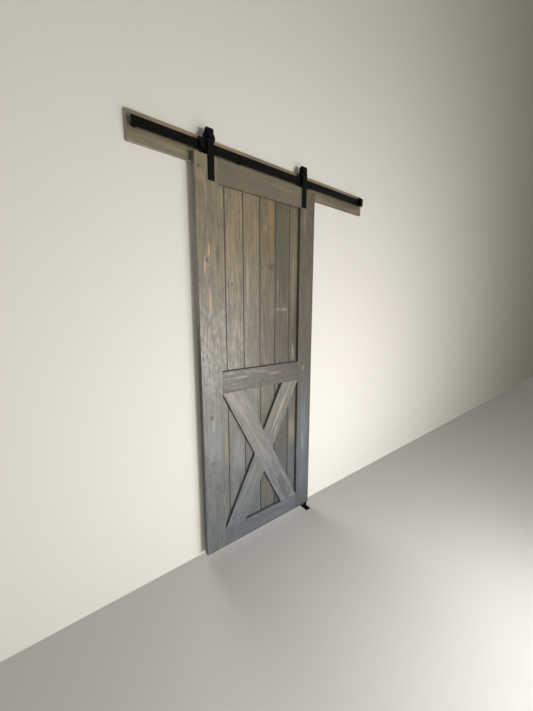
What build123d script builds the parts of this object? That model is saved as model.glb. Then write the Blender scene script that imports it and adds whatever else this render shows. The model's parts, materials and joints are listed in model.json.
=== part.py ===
from build123d import *
import math
import os

os.makedirs("parts", exist_ok=True)

# Sliding barn door that hangs on a flat rail, in millimetres
# The origin is the middle of the header board's back face, against the wall
# +X runs to the right along the wall, +Y goes into the wall and +Z is up
# The door stands at the left end of its travel

# Header board
header_height = 124
header_thick = 19
header_left_overhang = 15
header_right_overhang = 25
header_hole_dia = 6.5
header_hole_count = 4
stud_pitch = 406.4

# Flat rail and its bolts
rail_length = 1600
rail_height = 40
rail_thick = 6
rail_lift = 5.5
rail_bolt_count = 4
rail_end_margin = 16
spacer_dia = 25
rail_bolt_dia = 8
rail_bolt_hex = 13
rail_bolt_head = 5.3
bolt_end_cover = 2

# Door leaf: planks behind, face frame in front
door_left = -536
door_width = 817
door_height = 2176
door_drop = 19
door_back_gap = 5
floor_gap = 27
plank_thick = 19
plank_pitch = 114.3
first_plank_width = 49.7
tongue_depth = 6
tongue_thick = 6
v_groove = 2.5
frame_thick = 19
stile_width = 124
top_rail_height = 117
mid_rail_height = 126
mid_rail_lift = 962
bottom_rail_height = 113
brace_width = 124

# Hooked hanger straps
left_hanger_inset = 86.5
right_hanger_inset = 95.6
strap_width = 34
strap_thick = 6
hook_headroom = 6
rear_leg_drop = 18
strap_bolt_drop = 43
strap_bolt_pitch = 50
strap_end_margin = 21
strap_bolt_dia = 8
strap_bolt_hex = 13
strap_bolt_head = 5.3
strap_bolt_cover = 4

# Grooved wheels, bearings and axles
wheel_dia = 62
wheel_width = 12
wheel_side_gap = 6
groove_depth = 5.5
bearing_dia = 30
bearing_bore = 10
bearing_width = 9
sleeve_dia = 17
axle_hex = 16
axle_head = 6.4
axle_nut_height = 8

# Anti-jump discs on the door's top edge
disc_dia = 24
disc_offset = 22
disc_rail_gap = 4
disc_screw_dia = 5
disc_screw_head_dia = 10
disc_screw_length = 45

# Rail stops with rubber bumpers
stop_length = 22
stop_front_thick = 22
stop_front_height = 38
stop_bridge_height = 13
stop_lip_thick = 4
stop_lip_spacer_gap = 1.5
stop_bolt_gap = 2.5
bumper_thick = 7
set_screw_dia = 6

# Floor guide
guide_inset = 32
guide_width = 38
guide_upright_width = 28
guide_thick = 4
guide_upright_height = 35
guide_corner = 5
guide_reach = 40
guide_foot_length = 32
guide_hole_dia = 5
guide_hole_pitch = 20
guide_screw_dia = 6
guide_screw_hex = 10
guide_screw_head = 4

# Clearances and eased edges
bolt_clearance = 0.2
pilot_clearance = 0.05
running_gap = 0.3
bearing_gap = 0.1
groove_clearance = 0.5
slide_gap = 0.5
clamp_gap = 0.1
tongue_gap = 0.3
wood_ease = 0.8
steel_ease = 0.8

# Depths in front of the wall, measured along -Y
door_back = header_thick + door_back_gap
frame_back = door_back + plank_thick
door_front = frame_back + frame_thick
strap_front = door_front + strap_thick
hook_inner_radius = wheel_width / 2 + wheel_side_gap
hook_outer_radius = hook_inner_radius + strap_thick
rail_middle = door_front - hook_inner_radius
rail_back = rail_middle - rail_thick / 2
rail_front = rail_middle + rail_thick / 2
strap_rear = rail_middle - hook_outer_radius

# Heights of the rail, door, floor and wheels
rail_top = rail_lift + rail_height / 2
rail_bottom = rail_lift - rail_height / 2
door_top = rail_bottom - door_drop
door_bottom = door_top - door_height
floor = door_bottom - floor_gap
wheel_radius = wheel_dia / 2
wheel_root = wheel_radius - groove_depth
axle_height = rail_top + running_gap + wheel_root
bend_height = axle_height + wheel_radius + hook_headroom - hook_inner_radius
strap_bolt_heights = [
    door_top - strap_bolt_drop,
    door_top - strap_bolt_drop - strap_bolt_pitch,
]
strap_bottom = strap_bolt_heights[-1] - strap_end_margin

# Places along the wall
door_right = door_left + door_width
hangers = {
    "left": door_left + left_hanger_inset,
    "right": door_right - right_hanger_inset,
}
header_length = header_left_overhang + rail_length + header_right_overhang
rail_left = header_left_overhang - header_length / 2
rail_bolt_pitch = (rail_length - 2 * rail_end_margin) / (rail_bolt_count - 1)
rail_bolts_at = [
    (rail_left + rail_end_margin + i * rail_bolt_pitch, rail_lift)
    for i in range(rail_bolt_count)
]
header_holes_at = [
    ((i - (header_hole_count - 1) / 2) * stud_pitch, rail_lift)
    for i in range(header_hole_count)
]

# The bumper meets the wheel's rim at the height of the stop's top
stop_top = rail_top + stop_bridge_height
rim_reach = math.sqrt(wheel_radius**2 - (axle_height - stop_top) ** 2)
bumper_reach = rim_reach + running_gap
last_bolt_edge = rail_bolts_at[-1][0] - rail_bolt_hex / math.sqrt(3)
stops = {
    "left": hangers["left"] - bumper_reach - bumper_thick - stop_length,
    "right": last_bolt_edge - stop_bolt_gap - stop_length,
}
travel = stops["right"] - bumper_thick - bumper_reach - hangers["right"]
print("door travel", round(travel, 2))
print("axles", {side: round(x, 2) for side, x in hangers.items()}, round(axle_height, 2))
print("wheel axis depth", rail_middle, "rolling radius", wheel_root)


def save(part, name):
    part.label = name
    export_step(part, f"parts/{name}.step")


def ease_front(part, size):
    chamfer(part.faces().sort_by(Axis.Y)[0].outer_wire().edges(), size)


# Header board, with holes for the rail bolts and for the screws that fix it to the wall's studs
with BuildPart() as header_board:
    with BuildSketch(Plane.XZ):
        Rectangle(header_length, header_height)
    extrude(amount=header_thick)
    ease_front(header_board, wood_ease)
    with BuildSketch(Plane.XZ.offset(header_thick)):
        with Locations(*rail_bolts_at):
            Circle(rail_bolt_dia / 2 + pilot_clearance)
    extrude(amount=bolt_end_cover - header_thick, mode=Mode.SUBTRACT)
    with BuildSketch(Plane.XZ):
        with Locations(*header_holes_at):
            Circle(header_hole_dia / 2)
    extrude(amount=header_thick, mode=Mode.SUBTRACT)
save(header_board.part, "header_board")

# Flat rail
with BuildPart() as flat_rail:
    with BuildSketch(Plane.XZ.offset(rail_back)):
        with Locations((rail_left + rail_length / 2, rail_lift)):
            Rectangle(rail_length, rail_height)
        with Locations(*rail_bolts_at):
            Circle(rail_bolt_dia / 2 + bolt_clearance, mode=Mode.SUBTRACT)
    extrude(amount=rail_thick)
    ease_front(flat_rail, steel_ease)
save(flat_rail.part, "flat_rail")

# Round spacers that hold the rail off the header
with BuildPart() as rail_spacers:
    with BuildSketch(Plane.XZ.offset(header_thick)):
        with Locations(*rail_bolts_at):
            Circle(spacer_dia / 2)
            Circle(rail_bolt_dia / 2 + bolt_clearance, mode=Mode.SUBTRACT)
    extrude(amount=rail_back - header_thick)
save(rail_spacers.part, "rail_spacers")


def hex_bolts(name, seat, places, hex_size, head, dia, length):
    with BuildPart() as bolts:
        with BuildSketch(Plane.XZ.offset(seat)):
            with Locations(*places):
                RegularPolygon(hex_size / 2, 6, major_radius=False)
        extrude(amount=head)
        chamfer(bolts.faces().group_by(Axis.Y)[0].edges(), steel_ease)
        with BuildSketch(Plane.XZ.offset(seat)):
            with Locations(*places):
                Circle(dia / 2)
        extrude(amount=-length)
    save(bolts.part, name)


def hex_nuts(name, seat, places, hex_size, height, dia):
    with BuildPart() as nuts:
        with BuildSketch(Plane.XZ.offset(seat)):
            with Locations(*places):
                RegularPolygon(hex_size / 2, 6, major_radius=False)
                Circle(dia / 2 + pilot_clearance, mode=Mode.SUBTRACT)
        extrude(amount=-height)
    save(nuts.part, name)


def countersunk_screws(name, plane, places, dia, head_dia, head_depth, length):
    with BuildPart(plane) as screws:
        with Locations(*places):
            Cylinder(dia / 2, length, align=(Align.CENTER, Align.CENTER, Align.MAX))
            Cone(dia / 2, head_dia / 2, head_depth, align=(Align.CENTER, Align.CENTER, Align.MAX))
    save(screws.part, name)


hex_bolts(
    "rail_bolts",
    rail_front,
    rail_bolts_at,
    rail_bolt_hex,
    rail_bolt_head,
    rail_bolt_dia,
    rail_front - bolt_end_cover,
)

# Seams and centres of the planks
seams = [door_left + first_plank_width]
while seams[-1] + plank_pitch < door_right:
    seams.append(seams[-1] + plank_pitch)
plank_edges = [door_left, *seams, door_right]
plank_spans = list(zip(plank_edges[:-1], plank_edges[1:]))

# Outlines of the face frame's boards: left, right, bottom and top
panel_left = door_left + stile_width
panel_right = door_right - stile_width
top_rail_bottom = door_top - top_rail_height
mid_rail_bottom = door_bottom + mid_rail_lift
mid_rail_top = mid_rail_bottom + mid_rail_height
bottom_rail_top = door_bottom + bottom_rail_height
frame_boards = {
    "left_stile": (door_left, panel_left, door_bottom, door_top),
    "right_stile": (panel_right, door_right, door_bottom, door_top),
    "top_rail": (panel_left, panel_right, top_rail_bottom, door_top),
    "mid_rail": (panel_left, panel_right, mid_rail_bottom, mid_rail_top),
    "bottom_rail": (panel_left, panel_right, door_bottom, bottom_rail_top),
}

# The braces run from corner to corner of the lower panel
panel_width = panel_right - panel_left
panel_height = mid_rail_bottom - bottom_rail_top
brace_angle = math.atan2(panel_height, panel_width) + math.asin(
    brace_width / math.hypot(panel_width, panel_height)
)
brace_run = brace_width / math.sin(brace_angle)
long_brace_corners = [
    (panel_left, mid_rail_bottom),
    (panel_left + brace_run, mid_rail_bottom),
    (panel_right, bottom_rail_top),
    (panel_right - brace_run, bottom_rail_top),
]
cross_brace_corners = [
    (panel_left, bottom_rail_top),
    (panel_left + brace_run, bottom_rail_top),
    (panel_right, mid_rail_bottom),
    (panel_right - brace_run, mid_rail_bottom),
]

strap_bolts_at = [(x, z) for x in hangers.values() for z in strap_bolt_heights]
disc_depth = door_front - disc_dia / 2
discs_at = [(x - disc_offset, -disc_depth) for x in hangers.values()]

# Every hole in the boards of the door
strap_bolt_length = strap_front - door_back - strap_bolt_cover
with BuildPart() as door_holes:
    with BuildSketch(Plane.XZ.offset(strap_front)):
        with Locations(*strap_bolts_at):
            Circle(strap_bolt_dia / 2 + pilot_clearance)
    extrude(amount=-strap_bolt_length)
    with BuildSketch(Plane.XY.offset(door_top)):
        with Locations(*discs_at):
            Circle(disc_screw_dia / 2 + pilot_clearance)
    extrude(amount=-disc_screw_length)

# Tongue and groove planks, with a V joint on the face
plank_middle = -(door_back + plank_thick / 2)
for number, (left, right) in enumerate(plank_spans, start=1):
    is_first = number == 1
    is_last = number == len(plank_spans)
    with BuildPart() as plank:
        with BuildSketch(Plane.XY.offset(door_bottom)) as section:
            with Locations(((left + right) / 2, plank_middle)):
                Rectangle(right - left, plank_thick)
            face_corners = section.vertices().group_by(Axis.Y)[0].sort_by(Axis.X)
            if is_first:
                face_corners = face_corners[1:]
            if is_last:
                face_corners = face_corners[:-1]
            chamfer(face_corners, v_groove)
            if not is_last:
                with Locations((right, plank_middle)):
                    Rectangle(tongue_depth, tongue_thick, align=(Align.MIN, Align.CENTER))
            if not is_first:
                with Locations((left, plank_middle)):
                    Rectangle(
                        tongue_depth + tongue_gap,
                        tongue_thick + tongue_gap,
                        align=(Align.MIN, Align.CENTER),
                        mode=Mode.SUBTRACT,
                    )
        extrude(amount=door_height)
        add(door_holes.part, mode=Mode.SUBTRACT)
    save(plank.part, f"plank_{number}")

# Stiles and rails of the face frame
for name, (left, right, bottom, top) in frame_boards.items():
    with BuildPart() as frame_board:
        with BuildSketch(Plane.XZ.offset(frame_back)):
            with Locations(((left + right) / 2, (bottom + top) / 2)):
                Rectangle(right - left, top - bottom)
        extrude(amount=frame_thick)
        ease_front(frame_board, wood_ease)
        add(door_holes.part, mode=Mode.SUBTRACT)
    save(frame_board.part, name)

# X brace: one board runs through, the other is two pieces that butt against it
with BuildPart() as brace_long:
    with BuildSketch(Plane.XZ.offset(frame_back)):
        Polygon(*long_brace_corners, align=None)
    extrude(amount=frame_thick)
    ease_front(brace_long, wood_ease)
save(brace_long.part, "brace_long")

for name, side in (("brace_lower", 0), ("brace_upper", -1)):
    with BuildPart() as brace_short:
        with BuildSketch(Plane.XZ.offset(frame_back)) as outline:
            Polygon(*cross_brace_corners, align=None)
            Polygon(*long_brace_corners, align=None, mode=Mode.SUBTRACT)
        extrude(outline.sketch.faces().sort_by(Axis.Z)[side], amount=frame_thick)
        ease_front(brace_short, wood_ease)
    save(brace_short.part, name)

# Lag screws hold the straps to the door
hex_bolts(
    "strap_lag_screws",
    strap_front,
    strap_bolts_at,
    strap_bolt_hex,
    strap_bolt_head,
    strap_bolt_dia,
    strap_bolt_length,
)

# Hangers, wheels and axles
bearing_back = rail_middle - bearing_width / 2
axle_length = strap_front - strap_rear + axle_nut_height
groove_half = rail_thick / 2 + groove_clearance
for side, x in hangers.items():
    axle_at = (x, axle_height)

    with BuildPart() as hanger:
        with BuildSketch(Plane.YZ.offset(x)):
            with BuildLine():
                Line((-strap_front, strap_bottom), (-strap_front, bend_height))
                ThreePointArc(
                    (-strap_front, bend_height),
                    (-rail_middle, bend_height + hook_outer_radius),
                    (-strap_rear, bend_height),
                )
                Line((-strap_rear, bend_height), (-strap_rear, axle_height - rear_leg_drop))
                Line(
                    (-strap_rear, axle_height - rear_leg_drop),
                    (-strap_rear - strap_thick, axle_height - rear_leg_drop),
                )
                Line(
                    (-strap_rear - strap_thick, axle_height - rear_leg_drop),
                    (-strap_rear - strap_thick, bend_height),
                )
                ThreePointArc(
                    (-strap_rear - strap_thick, bend_height),
                    (-rail_middle, bend_height + hook_inner_radius),
                    (-door_front, bend_height),
                )
                Line((-door_front, bend_height), (-door_front, strap_bottom))
                Line((-door_front, strap_bottom), (-strap_front, strap_bottom))
            make_face()
        extrude(amount=strap_width / 2, both=True)
        foot_edges = hanger.edges().filter_by(Axis.Y).group_by(Axis.Z)[0]
        tail_edges = hanger.edges().filter_by(Axis.Y).group_by(Axis.Y)[-1].group_by(Axis.Z)[0]
        chamfer(foot_edges, strap_thick / 3)
        chamfer(tail_edges, strap_thick)
        with BuildSketch(Plane.XZ.offset(strap_front)):
            with Locations(axle_at):
                Circle(bearing_bore / 2 + bolt_clearance)
        extrude(amount=strap_rear - strap_front, mode=Mode.SUBTRACT)
        with BuildSketch(Plane.XZ.offset(strap_front)):
            with Locations(*[(x, z) for z in strap_bolt_heights]):
                Circle(strap_bolt_dia / 2 + bolt_clearance)
        extrude(amount=-strap_thick, mode=Mode.SUBTRACT)
    save(hanger.part, f"hanger_{side}")

    # The wheel's groove takes the rail's top edge
    half_width = wheel_width / 2
    wheel_profile = [
        (-half_width, bearing_dia / 2),
        (-half_width, wheel_radius),
        (-groove_half, wheel_radius),
        (-groove_half, wheel_root),
        (groove_half, wheel_root),
        (groove_half, wheel_radius),
        (half_width, wheel_radius),
        (half_width, bearing_dia / 2),
    ]
    with BuildPart() as wheel:
        with BuildSketch(Plane.YZ.offset(x)):
            Polygon(*[(depth - rail_middle, axle_height + r) for depth, r in wheel_profile], align=None)
        revolve(axis=Axis((x, 0, axle_height), (0, 1, 0)))
    save(wheel.part, f"wheel_{side}")

    with BuildPart() as bearing:
        with BuildSketch(Plane.XZ.offset(bearing_back)):
            with Locations(axle_at):
                Circle(bearing_dia / 2)
                Circle(sleeve_dia / 2 + bearing_gap, mode=Mode.SUBTRACT)
        extrude(amount=bearing_width)
    save(bearing.part, f"bearing_{side}")

axles_at = [(x, axle_height) for x in hangers.values()]
with BuildPart() as axle_sleeves:
    with BuildSketch(Plane.XZ.offset(strap_rear + strap_thick)):
        with Locations(*axles_at):
            Circle(sleeve_dia / 2)
            Circle(bearing_bore / 2 + pilot_clearance, mode=Mode.SUBTRACT)
    extrude(amount=2 * hook_inner_radius)
save(axle_sleeves.part, "axle_sleeves")
hex_bolts("axle_bolts", strap_front, axles_at, axle_hex, axle_head, bearing_bore, axle_length)
hex_nuts("axle_nuts", strap_rear, axles_at, axle_hex, axle_nut_height, bearing_bore)

# Anti-jump discs sit on the door's top edge, close under the rail
disc_thick = door_drop - disc_rail_gap
disc_screw_head_depth = (disc_screw_head_dia - disc_screw_dia) / 2
with BuildPart() as antijump_discs:
    with BuildSketch(Plane.XY.offset(door_top)):
        with Locations(*discs_at):
            Circle(disc_dia / 2)
    extrude(amount=disc_thick)
    with Locations(*[(x, y, door_top + disc_thick) for x, y in discs_at]):
        CounterSinkHole(
            disc_screw_dia / 2 + pilot_clearance,
            disc_screw_head_dia / 2 + pilot_clearance,
            counter_sink_angle=90,
        )
save(antijump_discs.part, "antijump_discs")
countersunk_screws(
    "antijump_screws",
    Plane.XY.offset(door_top + disc_thick),
    discs_at,
    disc_screw_dia,
    disc_screw_head_dia,
    disc_screw_head_depth,
    disc_screw_length,
)

# Rail stops clamp over the rail's top edge, held by set screws
lip_back = rail_back - clamp_gap - stop_lip_thick
stop_front = rail_front + stop_front_thick
stop_bottom = rail_lift - stop_front_height / 2 - clamp_gap
stop_shoulder = stop_bottom + stop_front_height
lip_bottom = rail_lift + spacer_dia / 2 + stop_lip_spacer_gap
stop_profile = [
    (stop_front, stop_bottom),
    (stop_front, stop_shoulder),
    (rail_front + stop_bridge_height / 2, stop_top),
    (lip_back, stop_top),
    (lip_back, lip_bottom),
    (rail_back - clamp_gap, lip_bottom),
    (rail_back - clamp_gap, rail_top + clamp_gap),
    (rail_front + clamp_gap, rail_top + clamp_gap),
    (rail_front + clamp_gap, stop_bottom),
]
set_screws_at = [(start + stop_length / 2, rail_lift) for start in stops.values()]
for side, start in stops.items():
    with BuildPart() as stop:
        with BuildSketch(Plane.YZ.offset(start)):
            Polygon(*[(-depth, z) for depth, z in stop_profile], align=None)
        extrude(amount=stop_length)
        chamfer(stop.faces().sort_by(Axis.Y)[0].edges(), steel_ease)
        with BuildSketch(Plane.XZ.offset(stop_front)):
            with Locations(*set_screws_at):
                Circle(set_screw_dia / 2 + pilot_clearance)
        extrude(amount=rail_front - stop_front, mode=Mode.SUBTRACT)
    save(stop.part, f"stop_{side}")

    # The bumper is a pad on the bridge, on the side of the wheel
    pad_start = start + stop_length if side == "left" else start - bumper_thick
    with BuildPart() as bumper:
        with BuildSketch(Plane.YZ.offset(pad_start)):
            with Locations((-rail_middle, (rail_top + clamp_gap + stop_top) / 2)):
                Rectangle(wheel_width, stop_bridge_height - clamp_gap)
        extrude(amount=bumper_thick)
    save(bumper.part, f"stop_bumper_{side}")

with BuildPart() as stop_set_screws:
    with BuildSketch(Plane.XZ.offset(rail_front)):
        with Locations(*set_screws_at):
            Circle(set_screw_dia / 2)
    extrude(amount=stop_front_thick - steel_ease)
save(stop_set_screws.part, "stop_set_screws")

# Floor guide: a folded plate behind and under the door, and a bracket in front of it
guide_middle = door_right - guide_inset
guide_back = door_back - slide_gap
guide_front = door_front + slide_gap
base_front = guide_front + guide_reach
base_top = floor + guide_thick
guide_top = floor + guide_upright_height
guide_screw_at = (guide_middle, -(guide_front + guide_foot_length / 2 + guide_thick / 2))
guide_holes_at = [
    (guide_middle, -((door_back + door_front) / 2 + step * guide_hole_pitch / 2))
    for step in (-1, 1)
]
with BuildPart() as guide_base:
    with BuildSketch(Plane.YZ.offset(guide_middle)) as fold:
        with Locations((-base_front, floor)):
            Rectangle(base_front - guide_back + guide_thick, guide_thick, align=Align.MIN)
        with Locations((-guide_back, floor)):
            Rectangle(guide_thick, guide_upright_height, align=Align.MIN)
        outer_corner = fold.vertices().group_by(Axis.X)[-1].sort_by(Axis.Y)[0]
        fillet(outer_corner, guide_thick)
    extrude(amount=guide_width / 2, both=True)
    chamfer(guide_base.edges().filter_by(Axis.Z).group_by(Axis.Y)[0], guide_corner)
    with BuildSketch(Plane.XY.offset(floor)):
        with Locations(*guide_holes_at):
            Circle(guide_hole_dia / 2)
        with Locations(guide_screw_at):
            Circle(guide_screw_dia / 2 + pilot_clearance)
    extrude(amount=guide_thick, mode=Mode.SUBTRACT)
save(guide_base.part, "guide_base")

with BuildPart() as guide_bracket:
    with BuildSketch(Plane.YZ.offset(guide_middle)) as angle:
        with Locations((-guide_front, base_top)):
            Rectangle(guide_foot_length, guide_thick, align=(Align.MAX, Align.MIN))
        with Locations((-guide_front, base_top)):
            Rectangle(guide_thick, guide_top - base_top, align=(Align.MAX, Align.MIN))
        heel = angle.vertices().group_by(Axis.X)[-1].sort_by(Axis.Y)[0]
        fillet(heel, guide_thick - steel_ease)
    extrude(amount=guide_upright_width / 2, both=True)
    chamfer(guide_bracket.edges().filter_by(Axis.Y).group_by(Axis.Z)[-1], guide_corner)
    with BuildSketch(Plane.XY.offset(base_top)):
        with Locations(guide_screw_at):
            SlotOverall(guide_foot_length / 2, guide_screw_dia + 2 * bolt_clearance, rotation=90)
    extrude(amount=guide_thick, mode=Mode.SUBTRACT)
save(guide_bracket.part, "guide_bracket")

with BuildPart() as guide_screw:
    with BuildSketch(Plane.XY.offset(base_top + guide_thick)):
        with Locations(guide_screw_at):
            RegularPolygon(guide_screw_hex / 2, 6, major_radius=False)
    extrude(amount=guide_screw_head)
    chamfer(guide_screw.edges().group_by(Axis.Z)[-1], steel_ease)
    with BuildSketch(Plane.XY.offset(floor + steel_ease)):
        with Locations(guide_screw_at):
            Circle(guide_screw_dia / 2)
    extrude(amount=2 * guide_thick - steel_ease)
save(guide_screw.part, "guide_screw")
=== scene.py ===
import bpy
import bmesh
import json
import math
from mathutils import Euler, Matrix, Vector


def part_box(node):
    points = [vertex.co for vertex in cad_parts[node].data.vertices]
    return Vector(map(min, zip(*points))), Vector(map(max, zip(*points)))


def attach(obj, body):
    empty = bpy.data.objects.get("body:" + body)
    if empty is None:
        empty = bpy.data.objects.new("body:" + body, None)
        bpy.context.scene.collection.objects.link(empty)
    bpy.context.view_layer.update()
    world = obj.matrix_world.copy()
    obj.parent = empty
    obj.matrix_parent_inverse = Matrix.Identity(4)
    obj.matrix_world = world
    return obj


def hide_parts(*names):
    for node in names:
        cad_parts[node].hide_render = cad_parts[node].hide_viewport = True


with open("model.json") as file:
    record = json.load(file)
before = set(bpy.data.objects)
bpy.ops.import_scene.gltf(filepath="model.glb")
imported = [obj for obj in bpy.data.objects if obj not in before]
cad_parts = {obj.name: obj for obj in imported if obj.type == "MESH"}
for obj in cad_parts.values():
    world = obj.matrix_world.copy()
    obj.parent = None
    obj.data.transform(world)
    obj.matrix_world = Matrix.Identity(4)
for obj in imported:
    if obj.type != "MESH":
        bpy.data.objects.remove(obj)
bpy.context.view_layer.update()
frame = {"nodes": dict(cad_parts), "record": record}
nodes = frame["nodes"]
mm = 0.001
print("frame loaded:", len(nodes), "CAD nodes")


def hexColour(code):
    # sRGB hex to the linear values that the shader wants
    channels = [int(code[i:i + 2], 16) / 255 for i in (1, 3, 5)]
    return [c / 12.92 if c <= 0.04045 else ((c + 0.055) / 1.055) ** 2.4 for c in channels] + [1]


def addNode(tree, kind, inputs=None, **settings):
    # An input is a plain value, or another node's socket that gets linked
    node = tree.nodes.new(kind)
    for key, value in settings.items():
        setattr(node, key, value)
    for key, value in (inputs or {}).items():
        if isinstance(value, bpy.types.NodeSocket):
            tree.links.new(value, node.inputs[key])
        else:
            node.inputs[key].default_value = value
    return node


def maths(tree, operation, *values):
    return addNode(tree, "ShaderNodeMath", dict(enumerate(values)), operation=operation).outputs[0]


def vectorMaths(tree, operation, *values):
    node = addNode(tree, "ShaderNodeVectorMath", dict(enumerate(values)), operation=operation)
    return node.outputs["Value" if operation == "LENGTH" else "Vector"]


def remap(tree, value, source, target=(0.0, 1.0), curve="LINEAR"):
    # The value's source range becomes the target range, clamped at both ends
    return addNode(tree, "ShaderNodeMapRange", {
        "Value": value, "From Min": source[0], "From Max": source[1],
        "To Min": target[0], "To Max": target[1],
    }, interpolation_type=curve).outputs["Result"]


def noise(tree, place, scale, detail, roughness=0.5):
    return addNode(tree, "ShaderNodeTexNoise", {
        "Vector": place, "Scale": scale, "Detail": detail, "Roughness": roughness}).outputs["Fac"]


def blendColour(tree, amount, under, over, mode="MIX"):
    # The mix node's colours are its inputs 6 and 7 and its output 2
    return addNode(tree, "ShaderNodeMix", {
        0: amount, 6: under, 7: over}, data_type="RGBA", blend_type=mode).outputs[2]


def addSurface(tree, inputs):
    shader = addNode(tree, "ShaderNodeBsdfPrincipled", inputs)
    addNode(tree, "ShaderNodeOutputMaterial", {"Surface": shader.outputs[0]})


def newMaterial(name):
    material = bpy.data.materials.new(name)
    material.use_nodes = True
    material.node_tree.nodes.clear()
    return material, material.node_tree


def newGroup(name, kind, sockets):
    # Sockets are (direction, name, type)
    group = bpy.data.node_groups.new(name, kind)
    for direction, label, socketType in sockets:
        group.interface.new_socket(label, in_out=direction, socket_type=socketType)
    return group, addNode(group, "NodeGroupInput").outputs, addNode(group, "NodeGroupOutput")


def useGroup(tree, group, inputs):
    return addNode(tree, "ShaderNodeGroup", inputs, node_tree=group).outputs


def giveMaterial(thing, material):
    thing.data.materials.clear()
    thing.data.materials.append(material)


def addToScene(name, data):
    thing = bpy.data.objects.new(name, data)
    bpy.context.scene.collection.objects.link(thing)
    return thing


# Camera: solved from the room's vanishing lines, 1.45 m above the floor, turned right and a little down
cameraValues = {
    "place": (-1.145, -1.4527, -0.7895), "turn": 36.73, "down": 8.74,
    "lens": 14.45, "sensor": 36, "clipStart": 0.05,
}


def makeCamera():
    values = cameraValues
    cameraData = bpy.data.cameras.new("camera")
    cameraData.lens = values["lens"]
    cameraData.sensor_width = values["sensor"]
    cameraData.clip_start = values["clipStart"]
    camera = addToScene("camera", cameraData)
    camera.location = values["place"]
    camera.rotation_euler = (math.radians(90 - values["down"]), 0, -math.radians(values["turn"]))
    bpy.context.scene.camera = camera


makeCamera()
bpy.context.scene.view_settings.view_transform = "Standard"


# Stage: a pale floor, and a pale wall close behind the header board
stageValues = {
    "floor": "#e0ddd7", "floorRoughness": 0.9, "floorHeight": -2.2367,
    "wall": "#dedbd2", "wallPlace": 0.0005, "wallTop": 6.0, "reach": 14,
}


def makeFloorPaint():
    values = stageValues
    paint, tree = newMaterial("matte floor paint")
    addSurface(tree, {"Base Color": hexColour(values["floor"]), "Roughness": values["floorRoughness"]})
    return paint


def makeWallPaint():
    # The wall shows only to the camera and only from its front, so it hides nothing seen from behind
    paint, tree = newMaterial("matte wall paint")
    shader = addNode(tree, "ShaderNodeBsdfDiffuse", {"Color": hexColour(stageValues["wall"])})
    path = addNode(tree, "ShaderNodeLightPath").outputs
    side = addNode(tree, "ShaderNodeNewGeometry").outputs
    front = maths(tree, "SUBTRACT", 1.0, side["Backfacing"])
    seen = maths(tree, "MULTIPLY", path["Is Camera Ray"], front)
    clear = addNode(tree, "ShaderNodeBsdfTransparent")
    both = addNode(tree, "ShaderNodeMixShader", {0: seen, 1: clear.outputs[0], 2: shader.outputs[0]})
    addNode(tree, "ShaderNodeOutputMaterial", {"Surface": both.outputs[0]})
    return paint


def stagePlane(name, corners, material):
    mesh = bpy.data.meshes.new(name)
    mesh.from_pydata(corners, [], [(0, 1, 2, 3)])
    plane = addToScene(name, mesh)
    giveMaterial(plane, material)


def makeStage():
    reach, back = stageValues["reach"], stageValues["wallPlace"]
    low, high = stageValues["floorHeight"], stageValues["wallTop"]
    floor = [(-reach, -reach, low), (reach, -reach, low), (reach, reach, low), (-reach, reach, low)]
    wall = [(-reach, back, low), (reach, back, low), (reach, back, high), (-reach, back, high)]
    stagePlane("floor", floor, makeFloorPaint())
    stagePlane("wall", wall, makeWallPaint())


makeStage()


# Light: a key in front of the door's right, a window that the finish mirrors, weak fills, and a lamp behind
lightValues = {
    "key": {
        "place": (0.5, -4.3, -1.45), "aim": (-0.6, 0, -1.3),
        "size": (0.4, 0.4), "power": 80, "tint": "#fffdf8"},
    "window": {
        "place": (1.8, -4.2, -0.9), "aim": (-0.4, 0, -0.9),
        "size": (1.0, 1.1), "power": 30, "tint": "#fffefc"},
    "left": {
        "place": (-2.4, -3.0, -0.6), "aim": (-0.9, 0, -0.8),
        "size": (1.8, 1.8), "power": 4, "tint": "#fffdf9"},
    "low": {
        "place": (0.2, -1.9, -1.55), "aim": (-0.2, 0, -1.6),
        "size": (1.6, 0.5), "power": 20, "tint": "#f3f4fa"},
    "behind": {
        "place": (-0.1, 3.6, -0.4), "aim": (-0.1, 0, -1.1),
        "size": (2.0, 2.0), "power": 60, "tint": "#ffffff"},
}
worldValues = {"tint": "#f0ebe0", "cast": 0.2, "seen": 0.7}


def makeLamp(name, values):
    lamp = bpy.data.lights.new(name, "AREA")
    lamp.shape = "RECTANGLE"
    lamp.size, lamp.size_y = values["size"]
    lamp.energy = values["power"]
    lamp.color = hexColour(values["tint"])[:3]
    holder = addToScene(name, lamp)
    place, aim = Vector(values["place"]), Vector(values["aim"])
    holder.location = place
    holder.rotation_euler = (aim - place).to_track_quat("-Z", "Y").to_euler()
    holder.visible_camera = False


def makeWorld():
    # The room casts a weak light, and looks brighter to the camera and in what the surfaces mirror
    values = worldValues
    world = bpy.data.worlds.new("room light")
    bpy.context.scene.world = world
    world.use_nodes = True
    tree = world.node_tree
    tree.nodes.clear()
    path = addNode(tree, "ShaderNodeLightPath").outputs
    seen = maths(tree, "MAXIMUM", path["Is Camera Ray"], path["Is Glossy Ray"])
    seen = maths(tree, "MAXIMUM", seen, path["Is Transmission Ray"])
    strength = remap(tree, seen, (0.0, 1.0), (values["cast"], values["seen"]))
    sky = addNode(tree, "ShaderNodeBackground", {"Color": hexColour(values["tint"]), "Strength": strength})
    addNode(tree, "ShaderNodeOutputWorld", {"Surface": sky.outputs[0]})


for name, values in lightValues.items():
    makeLamp(name, values)
makeWorld()
print("camera, stage and lights made")


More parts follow.
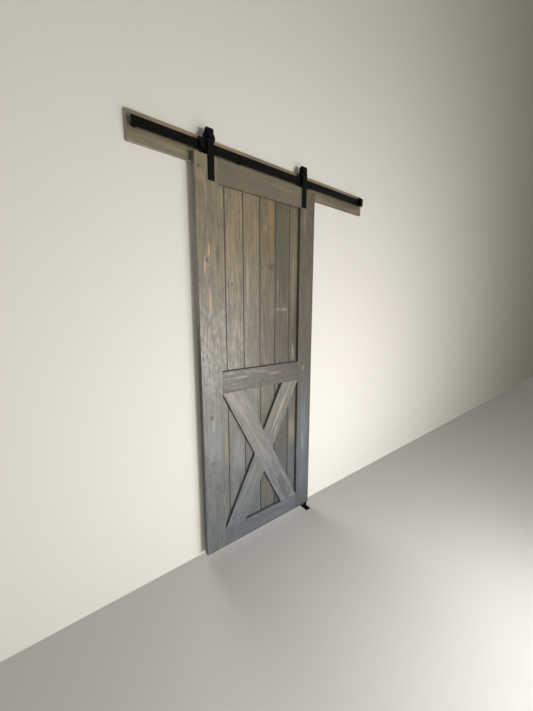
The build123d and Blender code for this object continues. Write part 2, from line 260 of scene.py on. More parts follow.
# Stained pine. Board coordinates are in metres: X across the face, Y through the board, Z along the grain
grainValues = {
    "ringPitch": 12 * mm,      # growth rings as a flat-sawn face shows them, drawn coarse enough to show
    "ringScale": 0.314,        # the rings texture repeats every 0.314 m at scale 1
    "ringWaves": {"Distortion": 2.2, "Detail": 2.0, "Detail Scale": 0.35, "Detail Roughness": 0.55},
    "heartDepth": 38 * mm,     # how far behind the face the tree's heart lay
    "heartLean": 0.035,        # the heart leans, so rings make tall arches on the face
    "wander": 50 * mm,         # how far the heart wanders to either side
    "wanderScale": (6, 6, 1.7),
    "wanderDetail": 1.5,
    "roughness": 0.55,
    "figures": {               # sizes in mm, across the face, through the board and along the grain
        "Fibre": {"size": (2.2, 40, 120), "detail": 3.0},
        "Streak": {"size": (13, 40, 200), "detail": 2.0},
        "Blotch": {"size": (48, 80, 130), "detail": 3.0},
        "Fleck": {"size": (12, 40, 30), "detail": 3.0},
    },
}


def makeGrainGroup():
    values = grainValues
    group, given, result = newGroup("sawn pine grain", "ShaderNodeTree", [
        ("INPUT", "Vector", "NodeSocketVector"),
        ("INPUT", "Seed", "NodeSocketFloat"),
        ("OUTPUT", "Rings", "NodeSocketFloat"),
    ] + [("OUTPUT", label, "NodeSocketFloat") for label in values["figures"]])
    shift = addNode(group, "ShaderNodeCombineXYZ", {"Z": given["Seed"]}).outputs[0]
    apart = vectorMaths(group, "ADD", given["Vector"], shift)
    wander = vectorMaths(group, "MULTIPLY", apart, values["wanderScale"])
    wander = noise(group, wander, 1.0, values["wanderDetail"])
    wander = remap(group, wander, (0.0, 1.0), (-values["wander"], values["wander"]))
    place = addNode(group, "ShaderNodeSeparateXYZ", {"Vector": given["Vector"]}).outputs
    across = maths(group, "ADD", place["X"], wander)
    lean = maths(group, "MULTIPLY_ADD", place["Z"], values["heartLean"], values["heartDepth"])
    depth = maths(group, "ADD", place["Y"], lean)
    ringPlace = addNode(group, "ShaderNodeCombineXYZ", {"X": across, "Y": depth, "Z": apart}).outputs[0]
    rings = addNode(group, "ShaderNodeTexWave", {
        "Vector": ringPlace, "Scale": values["ringScale"] / values["ringPitch"], **values["ringWaves"],
    }, wave_type="RINGS", rings_direction="Z", wave_profile="SAW")
    group.links.new(rings.outputs["Fac"], result.inputs["Rings"])
    for label, figure in values["figures"].items():
        stretched = vectorMaths(group, "MULTIPLY", apart, [1 / (size * mm) for size in figure["size"]])
        amount = noise(group, stretched, 1.0, figure["detail"], values["roughness"])
        group.links.new(amount, result.inputs[label])
    return group


# A knot. Distances are in knot radii, and a shape scales them along each axis, so small numbers reach far
knotValues = {
    "pullShape": (0.45, 0, 0.2), "pullPower": 2.0,
    "ringShape": (0.56, 0, 0.2), "ringEdge": (0.32, 0.02),
    "coreShape": (1, 0, 0.75), "coreEdge": (1.25, 0.6),
    "wearScale": (110, 1, 28), "wearDetail": 2.0, "wearRange": (0.42, 0.6),
}


def makeKnotGroup():
    # The grain flows round a knot, so the knot also bends the board coordinates beside it
    values = knotValues
    group, given, result = newGroup("knot", "ShaderNodeTree", [
        ("INPUT", "Vector", "NodeSocketVector"),
        ("INPUT", "Place", "NodeSocketVector"),
        ("INPUT", "Radius", "NodeSocketFloat"),
        ("OUTPUT", "Vector", "NodeSocketVector"),
        ("OUTPUT", "Knot", "NodeSocketFloat"),
        ("OUTPUT", "Halo", "NodeSocketFloat"),
    ])
    away = vectorMaths(group, "SUBTRACT", given["Vector"], given["Place"])
    shrink = maths(group, "DIVIDE", 1.0, given["Radius"])
    radii = addNode(group, "ShaderNodeVectorMath", {0: away, "Scale": shrink}, operation="SCALE").outputs[0]

    def distance(shape):
        return vectorMaths(group, "LENGTH", vectorMaths(group, "MULTIPLY", radii, values[shape]))

    falloff = maths(group, "POWER", distance("pullShape"), values["pullPower"])
    pull = maths(group, "EXPONENT", maths(group, "MULTIPLY", falloff, -1.0))
    sideways = addNode(group, "ShaderNodeSeparateXYZ", {"Vector": away}).outputs["X"]
    bend = addNode(group, "ShaderNodeCombineXYZ", {"X": maths(group, "MULTIPLY", sideways, pull)}).outputs[0]
    group.links.new(vectorMaths(group, "SUBTRACT", given["Vector"], bend), result.inputs["Vector"])
    # A pale line of wood closes round the knot and runs out to a point above and below it
    offLine = maths(group, "ABSOLUTE", maths(group, "ADD", distance("ringShape"), -1.0))
    line = remap(group, offLine, values["ringEdge"], curve="SMOOTHSTEP")
    worn = vectorMaths(group, "MULTIPLY", given["Vector"], values["wearScale"])
    worn = remap(group, noise(group, worn, 1.0, values["wearDetail"]), values["wearRange"])
    group.links.new(maths(group, "MULTIPLY", line, worn), result.inputs["Halo"])
    core = remap(group, distance("coreShape"), values["coreEdge"], curve="SMOOTHSTEP")
    group.links.new(core, result.inputs["Knot"])
    return group


# A patch's edge, as a share of its half size, and how far the streaks push it in and out
patchValues = {"edge": (1.25, 0.25), "ragged": 2.6}


def makePatchGroup():
    # A patch of another tone, long with the grain and ragged at its edges
    values = patchValues
    group, given, result = newGroup("stain patch", "ShaderNodeTree", [
        ("INPUT", "Color", "NodeSocketColor"),
        ("INPUT", "Vector", "NodeSocketVector"),
        ("INPUT", "Ragged", "NodeSocketFloat"),
        ("INPUT", "Place", "NodeSocketVector"),
        ("INPUT", "Half Size", "NodeSocketVector"),
        ("INPUT", "Tone", "NodeSocketColor"),
        ("INPUT", "Strength", "NodeSocketFloat"),
        ("OUTPUT", "Color", "NodeSocketColor"),
    ])
    away = vectorMaths(group, "SUBTRACT", given["Vector"], given["Place"])
    flat = vectorMaths(group, "DIVIDE", away, given["Half Size"])
    flat = vectorMaths(group, "MULTIPLY", flat, (1, 0, 1))
    ragged = maths(group, "MULTIPLY_ADD", given["Ragged"], values["ragged"], -values["ragged"] / 2)
    far = maths(group, "ADD", vectorMaths(group, "LENGTH", flat), ragged)
    mask = remap(group, far, values["edge"], (0.0, given["Strength"]), curve="SMOOTHSTEP")
    group.links.new(blendColour(group, mask, given["Color"], given["Tone"]), result.inputs["Color"])
    return group


grainGroup, knotGroup, patchGroup = makeGrainGroup(), makeKnotGroup(), makePatchGroup()

# Tones of the stain: grey-brown over pine, tan where it took less, blue-grey where it took more. Some tones
# are painted light and shade instead: a painted shade, a pale painted pool of light, a painted shade for the
# V joints, and the warm top and cool foot tints of painted light
tones = {
    "pale": "#aa9f8c", "dark": "#595349", "seamShade": "#332f2a", "tan": "#a4947c", "pink": "#c0a994",
    "orange": "#8f795d", "blue": "#6a6e70", "slate": "#54564b", "brown": "#75695a", "knot": "#4d443c",
    "shade": "#504838", "paintedLightPool": "#a8a8a4", "top": "#f4ead8", "foot": "#cbdcf4",
}

# Each board: how its grain runs, its tones where it took more and less stain, and how strong its figure is.
# A knot is (x, z, radius, whether it has a pale ring), in mm of the part's frame, and a patch is
# (x, z, half width, half length, tone, strength), its sizes across and along the grain.
boards = {
    "header_board": {
        "run": "across", "cool": "#79766b", "warm": "#878174", "figure": 0.45,
        "knots": [],
        "patches": [
            (-650, -35, 14, 150, "pale", 0.3), (-120, 45, 12, 260, "brown", 0.4),
            (600, -40, 14, 150, "brown", 0.4), (640, 0, 90, 330, "dark", 0.5),
            (-430, 52, 12, 420, "tan", 0.7), (330, 52, 12, 420, "tan", 0.6),
        ],
    },
    "left_stile": {
        "run": "up", "cool": "#76736b", "warm": "#8a8475", "figure": 0.8,
        "knots": [
            (-516, -98, 6, False), (-484, -530, 6, True), (-483, -1374, 10, False), (-487, -1646, 6, False),
        ],
        "patches": [
            # The first patch on the line below is painted shade, darker at the top of the stile where less
            # light falls
            (-474, -130, 70, 150, "dark", 0.25), (-514, -133, 26, 34, "tan", 0.5),
            (-483, -178, 6, 60, "tan", 0.75), (-474, -482, 6, 44, "pink", 1.0),
            (-498, -560, 7, 50, "pink", 0.9), (-418, -490, 22, 60, "slate", 0.75),
            (-402, -790, 8, 230, "pale", 0.9), (-472, -750, 8, 75, "pink", 0.75),
            (-480, -1167, 8, 24, "pink", 0.8), (-471, -1423, 9, 40, "pale", 0.6),
            # The second patch on the line below is a painted pool of light, paler where more light falls low
            # on the stile
            (-500, -830, 20, 90, "blue", 0.35), (-470, -1530, 70, 190, "paintedLightPool", 0.4),
            (-488, -1600, 10, 60, "pale", 0.4), (-520, -1900, 16, 160, "blue", 0.4),
            (-450, -1960, 14, 120, "brown", 0.25),
        ],
    },
    "right_stile": {
        # This board's tones are partly its own darker wood and partly painted shade, darker because less
        # light reaches the door's right side
        "run": "up", "cool": "#514e47", "warm": "#5e5a50", "figure": 0.6,
        "knots": [(200, -538, 6, False)],
        "patches": [
            (196, -215, 10, 70, "tan", 0.4), (204, -1172, 10, 30, "pink", 0.6),
            # The first patch on the line below is painted shade over the stile's upper middle
            (219, -780, 90, 340, "dark", 0.5), (240, -700, 14, 200, "brown", 0.4),
            (180, -900, 10, 160, "dark", 0.25), (219, -1560, 60, 330, "blue", 0.8),
            # The first patch on the line below is a painted pool of light, paler on the stile's lower part
            (219, -1800, 80, 500, "paintedLightPool", 0.2), (210, -1700, 14, 60, "pale", 0.45),
            (200, -1950, 18, 120, "blue", 0.3),
        ],
    },
    "top_rail": {
        "run": "across", "cool": "#65625a", "warm": "#716d62", "figure": 0.25,
        "knots": [],
        "patches": [
            (-185, -60, 14, 120, "brown", 0.45), (-60, -120, 12, 140, "brown", 0.3),
            (40, -70, 14, 120, "pale", 0.12),
        ],
    },
    "mid_rail": {
        "run": "across", "cool": "#504d46", "warm": "#5f594e", "figure": 0.8,
        "knots": [],
        "patches": [
            (-308, -1168, 8, 60, "tan", 0.85), (-361, -1138, 6, 48, "tan", 0.75),
            (-45, -1173, 10, 48, "tan", 0.8), (-280, -1192, 4, 130, "dark", 0.8),
            (-330, -1150, 4, 70, "dark", 0.6), (60, -1150, 8, 60, "brown", 0.4),
            (-150, -1150, 5, 70, "pale", 0.4), (-330, -1225, 10, 70, "brown", 0.4),
            (40, -1185, 80, 180, "dark", 0.4),
        ],
    },
    "bottom_rail": {
        "run": "across", "cool": "#6d6b65", "warm": "#78756e", "figure": 0.3,
        "knots": [],
        "patches": [
            (-250, -2150, 14, 130, "blue", 0.35), (40, -2120, 10, 90, "pale", 0.2),
        ],
    },
    "brace_long": {
        "run": "fallRight", "cool": "#848078", "warm": "#9b9386", "figure": 0.8,
        "knots": [],
        "patches": [
            (-372, -1278, 12, 36, "tan", 1.0), (-330, -1310, 7, 150, "pale", 0.6),
            (-235, -1470, 7, 190, "tan", 0.4), (-60, -1863, 17, 150, "blue", 0.55),
            (20, -1975, 12, 90, "blue", 0.45), (75, -2030, 8, 50, "pink", 0.7),
            (50, -2010, 60, 150, "dark", 0.6), (-150, -1640, 7, 130, "pale", 0.5),
        ],
    },
    "brace_upper": {
        "run": "riseRight", "cool": "#77746c", "warm": "#8a8476", "figure": 0.7,
        "knots": [],
        "patches": [
            (5, -1420, 9, 175, "pink", 0.8), (80, -1330, 8, 100, "blue", 0.3),
            (-35, -1560, 7, 70, "pink", 0.6),
        ],
    },
    "brace_lower": {
        "run": "riseRight", "cool": "#777770", "warm": "#8b877b", "figure": 0.7,
        "knots": [],
        "patches": [
            (-245, -1850, 9, 140, "tan", 0.6), (-200, -1860, 7, 110, "pink", 0.4),
            (-330, -1990, 14, 90, "blue", 0.4),
        ],
    },
    "plank_1": {
        "run": "up", "cool": "#74706a", "warm": "#857e70", "figure": 0.8,
        "knots": [],
        "patches": [],
    },
    "plank_2": {
        # This board's tones are partly its own and partly a painted sheen, lighter where the finish mirrors
        # the window
        "run": "up", "cool": "#7d796f", "warm": "#918a79", "figure": 0.8,
        "knots": [],
        "patches": [
            (-385, -1570, 12, 130, "tan", 0.7), (-382, -1790, 16, 110, "blue", 0.6),
            (-390, -700, 8, 180, "brown", 0.4),
        ],
    },
    "plank_3": {
        "run": "up", "cool": "#79746a", "warm": "#928a78", "figure": 1.0,
        "knots": [(-330, -640, 6, False)],
        "patches": [
            (-318, -290, 14, 95, "tan", 0.45), (-352, -450, 12, 80, "tan", 0.6),
            (-300, -560, 12, 100, "tan", 0.4), (-312, -1795, 26, 60, "blue", 0.45),
            # The first patch on the line below is a painted pool of light, paler where more light falls low
            # on the plank
            (-312, -1640, 40, 130, "paintedLightPool", 0.4), (-345, -880, 12, 140, "dark", 0.3),
            (-290, -700, 8, 90, "pale", 0.5),
        ],
    },
    "plank_4": {
        "run": "up", "cool": "#747065", "warm": "#867e6e", "figure": 0.9,
        "knots": [],
        "patches": [
            # The first patch on the line below is painted shade across the plank's middle
            (-172, -980, 80, 220, "dark", 0.4), (-226, -600, 8, 190, "pale", 0.7),
            (-180, -800, 12, 160, "dark", 0.3), (-232, -955, 14, 90, "blue", 0.35),
            (-170, -2030, 18, 90, "blue", 0.5), (-175, -330, 14, 140, "tan", 0.3),
        ],
    },
    "plank_5": {
        "run": "up", "cool": "#665f50", "warm": "#736a58", "figure": 0.9,
        "knots": [(-57, -521, 7, False)],
        "patches": [
            (-60, -230, 26, 130, "orange", 0.6), (-56, -390, 16, 150, "orange", 0.4),
            # The second patch on the line below is painted shade across the plank's middle
            (-100, -300, 10, 110, "tan", 0.2), (-86, -980, 80, 240, "shade", 0.64),
            (-98, -1330, 28, 120, "brown", 0.6), (-70, -2005, 24, 130, "orange", 0.3),
            (-80, -1000, 12, 120, "brown", 0.5), (-62, -521, 34, 26, "slate", 0.9),
        ],
    },
    "plank_6": {
        "run": "up", "cool": "#56534a", "warm": "#625b4e", "figure": 0.8,
        "knots": [(55, -850, 5, False)],
        "patches": [
            (28, -776, 60, 11, "tan", 0.9), (28, -440, 160, 345, "slate", 1.0),
            # Both patches on the line below are painted shade over the plank's upper part and middle
            (28, -600, 70, 150, "shade", 0.6), (28, -990, 80, 190, "shade", 0.74),
            (-6, -992, 16, 60, "dark", 0.45), (40, -1850, 20, 160, "blue", 0.4),
        ],
    },
    "plank_7": {
        "run": "up", "cool": "#5f5c51", "warm": "#6d6858", "figure": 0.8,
        "knots": [],
        "patches": [
            # The first patch on the line below is painted shade across the plank's middle
            (121, -980, 80, 300, "shade", 0.92), (120, -640, 12, 300, "tan", 0.3),
            (128, -1060, 12, 80, "pale", 0.5), (125, -1600, 30, 110, "tan", 0.6),
            (120, -1850, 60, 130, "blue", 0.6),
        ],
    },
    "plank_8": {
        "run": "up", "cool": "#74706a", "warm": "#857e70", "figure": 0.8,
        "knots": [],
        "patches": [],
    },
}
pineValues = {
    "braceLean": 26.9,             # degrees between a brace and the stiles
    "plankHalfWidth": 57.15 * mm,  # tongue and groove boards that cover 114.3 mm each
    "coolLightHeight": -2.08,           # metres, below this the painted light tint stays cool
    "warmLightHeight": -0.45,           # metres, above this the painted light tint stays warm
    "seedStep": 3.7,               # how far apart along the grain the boards are cut
    "stainRange": (0.36, 0.64),
    "layers": [                    # flecks, streaks and the late wood of the rings: range, tone and strength
        ("Fleck", (0.52, 0.7), "pale", 0.3), ("Fleck", (0.48, 0.3), "dark", 0.35),
        ("Streak", (0.5, 0.74), "pale", 0.26), ("Streak", (0.5, 0.26), "dark", 0.26),
        ("Rings", (0.35, 1.0), "dark", 0.42),
    ],
    "pores": ((0.5, 0.25), "dark", 0.28),
    "halo": ((0.2, 1.0), "pink", 0.8),
    "core": ((0.0, 1.0), "knot", 0.85),
    # The seam values set the painted shade in the V joints
    "seamInset": 4 * mm, "seamWidth": 2 * mm, "seamShadeStrength": 0.68,
    "ringHeight": -0.5, "fleckHeight": 1.6,    # how high each figure stands in the bump, beside the fibre
    "bump": 0.5, "bumpDepth": 0.6 * mm,
    "glossRange": (0.36, 0.64), "roughness": (0.52, 0.32),
}


def tint(tree, colour, value, source, tone, strength):
    # The colour goes over to a tone as the value runs through its range
    return blendColour(tree, remap(tree, value, source, (0.0, strength)), colour, hexColour(tones[tone]))


def addKnots(tree, straight, knots, boardPlace):
    # Each knot bends the coordinates that the grain is drawn in
    bent, cores, halos = straight, [], []
    for x, z, radius, ringed in knots:
        knot = useGroup(tree, knotGroup, {"Vector": bent, "Place": boardPlace(x, z), "Radius": radius * mm})
        bent = knot["Vector"]
        cores.append(knot["Knot"])
        if ringed:
            halos.append(knot["Halo"])
    return bent, cores, halos


def addPatches(tree, colour, straight, ragged, patches, boardPlace):
    for x, z, halfWidth, halfLength, tone, strength in patches:
        colour = useGroup(tree, patchGroup, {
            "Color": colour, "Vector": straight, "Ragged": ragged, "Place": boardPlace(x, z),
            "Half Size": (halfWidth * mm, 1, halfLength * mm),
            "Tone": hexColour(tones[tone]), "Strength": strength,
        })["Color"]
    return colour


def stainedPine(node, board, seed):
    # Pine planed and wiped with a grey stain. Open grain drinks more of it, so it reads dark and dull
    values = pineValues
    material, tree = newMaterial("wiped grey stain on pine " + node)
    low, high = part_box(node)
    middle = (low + high) / 2
    lean = math.radians(values["braceLean"])
    run = {"up": 0, "across": math.pi / 2, "fallRight": -lean, "riseRight": lean}[board["run"]]
    turn = Euler((0, run, 0))
    toBoard = turn.to_matrix().inverted()

    def boardPlace(x, z):
        return toBoard @ (Vector((x * mm, middle.y, z * mm)) - middle)

    place = addNode(tree, "ShaderNodeTexCoord").outputs["Object"]
    straight = addNode(tree, "ShaderNodeMapping", {
        "Vector": place, "Location": middle, "Rotation": turn}, vector_type="TEXTURE").outputs[0]
    bent, cores, halos = addKnots(tree, straight, board["knots"], boardPlace)
    grain = useGroup(tree, grainGroup, {"Vector": bent, "Seed": seed * values["seedStep"]})

    stain = addNode(tree, "ShaderNodeValToRGB", {"Fac": grain["Blotch"]})
    for end, position, tone in zip(stain.color_ramp.elements, values["stainRange"], ("cool", "warm")):
        end.position = position
        end.color = hexColour(board[tone])
    colour = stain.outputs["Color"]
    for label, source, tone, strength in values["layers"]:
        colour = tint(tree, colour, grain[label], source, tone, strength * board["figure"])
    colour = tint(tree, colour, grain["Fibre"], *values["pores"])

    # Patches of another tone, some of them painted light and shade, lie over the figure, then the knots and
    # the painted shade of the seams
    colour = addPatches(tree, colour, straight, grain["Streak"], board["patches"], boardPlace)
    for halo in halos:
        colour = tint(tree, colour, halo, *values["halo"])
    for core in cores:
        colour = tint(tree, colour, core, *values["core"])
    if node.startswith("plank"):
        # Painted shade darkens the V joints between the planks, where the grooves fall into shadow
        across = addNode(tree, "ShaderNodeSeparateXYZ", {"Vector": straight}).outputs["X"]
        joint = values["plankHalfWidth"] - values["seamInset"]
        seamShade = (joint, joint + values["seamWidth"])
        colour = tint(tree, colour, maths(tree, "ABSOLUTE", across), seamShade, "seamShade", values["seamShadeStrength"])

    # Painted light: the colour is tinted warm and yellow at the top of the door, as under lamplight, and cool
    # and grey at its foot, as under daylight
    height = addNode(tree, "ShaderNodeSeparateXYZ", {"Vector": place}).outputs["Z"]
    height = remap(tree, height, (values["coolLightHeight"], values["warmLightHeight"]))
    paintedLightTint = blendColour(tree, height, hexColour(tones["foot"]), hexColour(tones["top"]))
    colour = blendColour(tree, 1.0, colour, paintedLightTint, "MULTIPLY")

    ridge = maths(tree, "MULTIPLY_ADD", grain["Rings"], values["ringHeight"], grain["Fibre"])
    ridge = maths(tree, "MULTIPLY_ADD", grain["Fleck"], values["fleckHeight"], ridge)
    bump = addNode(tree, "ShaderNodeBump", {
        "Height": ridge, "Strength": values["bump"], "Distance": values["bumpDepth"]})
    rough = remap(tree, grain["Fleck"], values["glossRange"], values["roughness"])
    addSurface(tree, {"Base Color": colour, "Roughness": rough, "Normal": bump.outputs[0]})
    return material


for seed, (node, board) in enumerate(boards.items()):
    giveMaterial(nodes[node], stainedPine(node, board, seed))
print("wood finished:", len(boards), "boards")


# Metal and rubber, for each material slot and for the wood screws, with the grit's size in mm. Powder coat is
# sprayed and baked, with a fine orange peel and a dull sheen. Black oxide is a thin dark skin on bare steel
finishValues = {
    "black_steel": {
        "name": "matte black powder coated steel", "colour": "#040404",
        "roughness": 0.55, "grit": 1.2, "bump": 0.3, "gloss": 0.08},
    "black_fasteners": {
        "name": "black oxide steel", "colour": "#060606",
        "roughness": 0.5, "grit": 0.8, "bump": 0.2, "gloss": 0.1},
    "bearing_steel": {
        "name": "ground bearing steel", "colour": "#b9b9b6",
        "roughness": 0.3, "grit": 0.5, "bump": 0.15, "metallic": 1.0},
    "bumper_rubber": {
        "name": "moulded black rubber", "colour": "#1a1a19",
        "roughness": 0.8, "grit": 0.6, "bump": 0.4},
    "wood_screws": {
        "name": "yellow zinc plated steel", "colour": "#a39570",
        "roughness": 0.35, "grit": 0.6, "bump": 0.15, "metallic": 1.0},
}
coatValues = {
    "patch": 45 * mm, "patchDetail": 4.0, "patchRange": (0.3, 0.7),
    "lift": 1.9, "leastLift": 0.001,      # how much paler the coat gets in its palest patches
    "wear": 0.08,                         # how much its roughness varies to either side
    "gritDetail": 3.0, "gritDepth": 0.2,
}


def surfaceFinish(name, colour, roughness, grit, bump, metallic=0.0, gloss=0.5):
    values = coatValues
    material, tree = newMaterial(name)
    place = addNode(tree, "ShaderNodeTexCoord").outputs["Object"]
    fine = noise(tree, place, 1 / (grit * mm), values["gritDetail"])
    broad = noise(tree, place, 1 / values["patch"], values["patchDetail"])
    dark = hexColour(colour)
    light = [min(1, c * values["lift"] + values["leastLift"]) for c in dark[:3]] + [1]
    coat = blendColour(tree, remap(tree, broad, values["patchRange"]), dark, light)
    wear = (roughness - values["wear"], roughness + values["wear"])
    rough = remap(tree, broad, values["patchRange"], wear)
    height = addNode(tree, "ShaderNodeBump", {
        "Height": fine, "Strength": bump, "Distance": grit * mm * values["gritDepth"]})
    addSurface(tree, {
        "Base Color": coat, "Roughness": rough, "Metallic": metallic, "Specular IOR Level": gloss,
        "Normal": height.outputs[0]})
    return material


finishes = {slot: surfaceFinish(**values) for slot, values in finishValues.items()}
slots = {part["node"]: part["material_slot"] for part in frame["record"]["subparts"]}
for node, slot in slots.items():
    if slot in finishes:
        giveMaterial(nodes[node], finishes[slot])


def bodyOf(node):
    return next(name for name, members in frame["record"]["behaviour"]["bodies"].items() if node in members)


def newPiece(name, mesh, body, material):
    piece = addToScene(name, mesh)
    giveMaterial(piece, material)
    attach(piece, body)
    return piece


def plainMesh(thing, name):
    # The evaluated object as a mesh of its own, with no modifier left
    mesh = bpy.data.meshes.new_from_object(thing.evaluated_get(bpy.context.evaluated_depsgraph_get()))
    mesh.name = name
    bpy.data.objects.remove(thing)
    return mesh


# Steel and rubber as bought: the same forms with small round edges, in mm, so that they catch the light
edgeValues = {
    "flat_rail": 0.8, "rail_spacers": 0.5, "rail_bolts": 0.4, "strap_lag_screws": 0.4, "axle_bolts": 0.5,
    "axle_nuts": 0.5, "hanger_left": 1.0, "hanger_right": 1.0, "wheel_left": 0.8, "wheel_right": 0.8,
    "stop_left": 0.6, "stop_right": 0.6, "stop_bumper_left": 1.5, "stop_bumper_right": 1.5,
    "guide_base": 0.6, "guide_bracket": 0.6, "guide_screw": 0.4, "antijump_discs": 0.6,
}
roundValues = {
    "merge": 0.001 * mm,
    "segments": 2,
    "flat": 0.5,      # degrees, faces that turn less than this are joined
    "corner": 35,     # degrees, edges that turn more than this are rounded
    "sharp": 40,      # degrees, edges that still turn more than this stay hard
}


def roundEdges(node, size):
    values = roundValues
    mesh = nodes[node].data.copy()
    shape = bmesh.new()
    shape.from_mesh(mesh)
    bmesh.ops.remove_doubles(shape, verts=shape.verts, dist=values["merge"])
    flat = math.radians(values["flat"])
    bmesh.ops.dissolve_limit(shape, angle_limit=flat, verts=shape.verts, edges=shape.edges)
    shape.to_mesh(mesh)
    shape.free()
    rough = addToScene(node, mesh)
    bevel = rough.modifiers.new("edge", "BEVEL")
    bevel.width = size * mm
    bevel.segments = values["segments"]
    bevel.limit_method = "ANGLE"
    bevel.angle_limit = math.radians(values["corner"])
    name = node + "_finished"
    piece = newPiece(name, plainMesh(rough, name), bodyOf(node), finishes[slots[node]])
    piece.data.shade_smooth()
    piece.data.set_sharp_from_angle(angle=math.radians(values["sharp"]))
    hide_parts(node)


for node, size in edgeValues.items():
    roundEdges(node, size)
print("edges rounded:", len(edgeValues), "nodes")


# Ball bearings: outer and inner rings with a shield pressed between them. Radii and heights in mm
bearingValues = {
    "outer": 15.0, "outerLand": 12.9, "shieldOuter": 12.6, "shieldInner": 10.7, "innerLand": 10.4,
    "bore": 8.6, "half": 4.5, "ease": 0.35, "shieldDrop": 0.45, "steps": 96, "sharp": 35,
}


def bearingProfile():
    # Points (radius, distance from the middle plane) round the section, one side and then the other
    values = bearingValues
    bore, outer, ease = values["bore"], values["outer"], values["ease"]
    half, drop = values["half"], values["shieldDrop"]
    raised, sunk = half - drop, half - 2 * drop
    side = [
        (bore, half - ease), (bore + ease, half), (values["innerLand"], half), (values["innerLand"], sunk),
        (values["shieldInner"], sunk), (values["shieldInner"], raised),
        (values["shieldOuter"], raised), (values["shieldOuter"], sunk),
        (values["outerLand"], sunk), (values["outerLand"], half), (outer - ease, half), (outer, half - ease),
    ]
    return side + [(radius, -far) for radius, far in reversed(side)]


def makeBearing(node):
    low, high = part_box(node)
    middle = (low + high) / 2
    profile, steps = bearingProfile(), bearingValues["steps"]
    shape = bmesh.new()

    def ring(angle):
        across, up = math.cos(angle), math.sin(angle)
        return [shape.verts.new(middle + Vector((radius * mm * across, far * mm, radius * mm * up)))
                for radius, far in profile]

    rings = [ring(2 * math.pi * step / steps) for step in range(steps)]
    for here, after in zip(rings, rings[1:] + rings[:1]):
        for i in range(len(profile)):
            j = (i + 1) % len(profile)
            shape.faces.new((here[i], here[j], after[j], after[i]))
    bmesh.ops.recalc_face_normals(shape, faces=shape.faces)
    mesh = bpy.data.meshes.new(node + "_rings")
    shape.to_mesh(mesh)
    shape.free()
    piece = newPiece(node + "_rings", mesh, bodyOf(node), finishes[slots[node]])
    piece.data.shade_smooth()
    piece.data.set_sharp_from_angle(angle=math.radians(bearingValues["sharp"]))
    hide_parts(node)


for node in ("bearing_left", "bearing_right"):
    makeBearing(node)


# Wood screws that hold the planks to the face frame, driven from the door's back, in mm
screwValues = {
    "headRadius": 4.6, "headHeight": 1.7, "rimHeight": 0.7, "crownInset": 1.2, "sides": 32, "sharp": 30,
    "recess": 1.2, "recessTaper": 0.8, "slotHalf": 0.75, "slotReach": 2.5, "seed": 7,
    "columns": (-511, -429, -315, -200, -86, 28, 142, 240),
    "rails": (-92, -1165, -1204, -2153),       # heights of the rows in the top, middle and bottom rails
    "stiles": (-474, 219),
    "stileRows": (-330, -560, -790, -1000, -1400, -1620, -1840, -2010),
    "braces": (
        (-300, -1360), (-205, -1545), (-60, -1830), (40, -2015),
        (45, -1360), (-45, -1540), (-205, -1850), (-290, -2010)),
}


def screwHead():
    # A wafer head with a cross recess, standing on the plank's back, its axis along Y
    values = screwValues
    shape = bmesh.new()
    wide, reach = values["slotHalf"], values["slotReach"]
    cross = [
        (wide, reach), (wide, wide), (reach, wide), (reach, -wide), (wide, -wide), (wide, -reach),
        (-wide, -reach), (-wide, -wide), (-reach, -wide), (-reach, wide), (-wide, wide), (-wide, reach),
    ]

    def loop(points, height):
        return [shape.verts.new((x * mm, height * mm, z * mm)) for x, z in points]

    def circle(radius, height):
        turns = [2 * math.pi * i / values["sides"] for i in range(values["sides"])]
        return loop([(radius * math.sin(t), radius * math.cos(t)) for t in turns], height)

    def band(first, second):
        for i in range(len(first)):
            j = (i + 1) % len(first)
            shape.faces.new((first[i], first[j], second[j], second[i]))

    top, taper = values["headHeight"], values["recessTaper"]
    foot, rim = circle(values["headRadius"], 0), circle(values["headRadius"], values["rimHeight"])
    crown = circle(values["headRadius"] - values["crownInset"], top)
    mouth = loop(cross, top)
    bottom = loop([(x * taper, z * taper) for x, z in cross], top - values["recess"])
    band(foot, rim)
    band(rim, crown)
    band(mouth, bottom)
    shape.faces.new(bottom)
    edges = [edge for edge in shape.edges if all(vert in crown + mouth for vert in edge.verts)]
    bmesh.ops.triangle_fill(shape, use_beauty=True, edges=edges)
    bmesh.ops.recalc_face_normals(shape, faces=shape.faces)
    mesh = bpy.data.meshes.new("screw head")
    shape.to_mesh(mesh)
    shape.free()
    return bpy.data.objects.new("screw head", mesh)


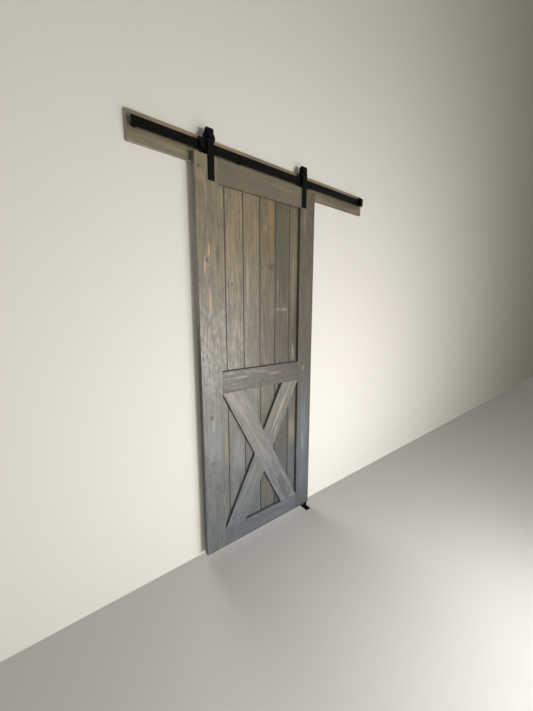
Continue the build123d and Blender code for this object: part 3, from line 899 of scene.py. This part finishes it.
def makeScatterGroup():
    # A head on each point, each turned by its own amount
    group, given, result = newGroup("screws in rows", "GeometryNodeTree", [
        ("INPUT", "Geometry", "NodeSocketGeometry"),
        ("INPUT", "Head", "NodeSocketObject"),
        ("INPUT", "Seed", "NodeSocketInt"),
        ("INPUT", "Material", "NodeSocketMaterial"),
        ("OUTPUT", "Geometry", "NodeSocketGeometry"),
    ])
    head = addNode(group, "GeometryNodeObjectInfo", {"Object": given["Head"], "As Instance": True})
    # The random node's highest number is its input 3, and the number it draws is its output 1
    turn = addNode(group, "FunctionNodeRandomValue", {
        "Seed": given["Seed"], 3: 2 * math.pi}, data_type="FLOAT")
    spin = addNode(group, "ShaderNodeCombineXYZ", {"Y": turn.outputs[1]})
    placed = addNode(group, "GeometryNodeInstanceOnPoints", {
        "Points": given["Geometry"], "Instance": head.outputs["Geometry"], "Rotation": spin.outputs[0]})
    whole = addNode(group, "GeometryNodeRealizeInstances", {"Geometry": placed.outputs["Instances"]})
    painted = addNode(group, "GeometryNodeSetMaterial", {
        "Geometry": whole.outputs[0], "Material": given["Material"]})
    group.links.new(painted.outputs[0], result.inputs["Geometry"])
    return group


def scatterScrews():
    values = screwValues
    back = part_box("plank_3")[1].y
    spots = [(x, z) for x in values["columns"] for z in values["rails"]]
    spots += [(x, z) for x in values["stiles"] for z in values["stileRows"]]
    spots += values["braces"]
    places = bpy.data.meshes.new("screw places")
    places.from_pydata([(x * mm, back, z * mm) for x, z in spots], [], [])
    holder = addToScene("screw places", places)
    head = screwHead()
    modifier = holder.modifiers.new("screws", "NODES")
    modifier.node_group = makeScatterGroup()
    items = modifier.node_group.interface.items_tree
    sockets = {item.name: item.identifier for item in items if item.in_out == "INPUT"}
    modifier[sockets["Head"]] = head
    modifier[sockets["Seed"]] = values["seed"]
    modifier[sockets["Material"]] = finishes["wood_screws"]
    mesh = plainMesh(holder, "wood_screws")
    bpy.data.objects.remove(head)
    piece = newPiece("wood_screws", mesh, bodyOf("plank_3"), finishes["wood_screws"])
    piece.data.set_sharp_from_angle(angle=math.radians(values["sharp"]))
    return len(spots)


screwCount = scatterScrews()
print("bearings and", screwCount, "wood screws made")
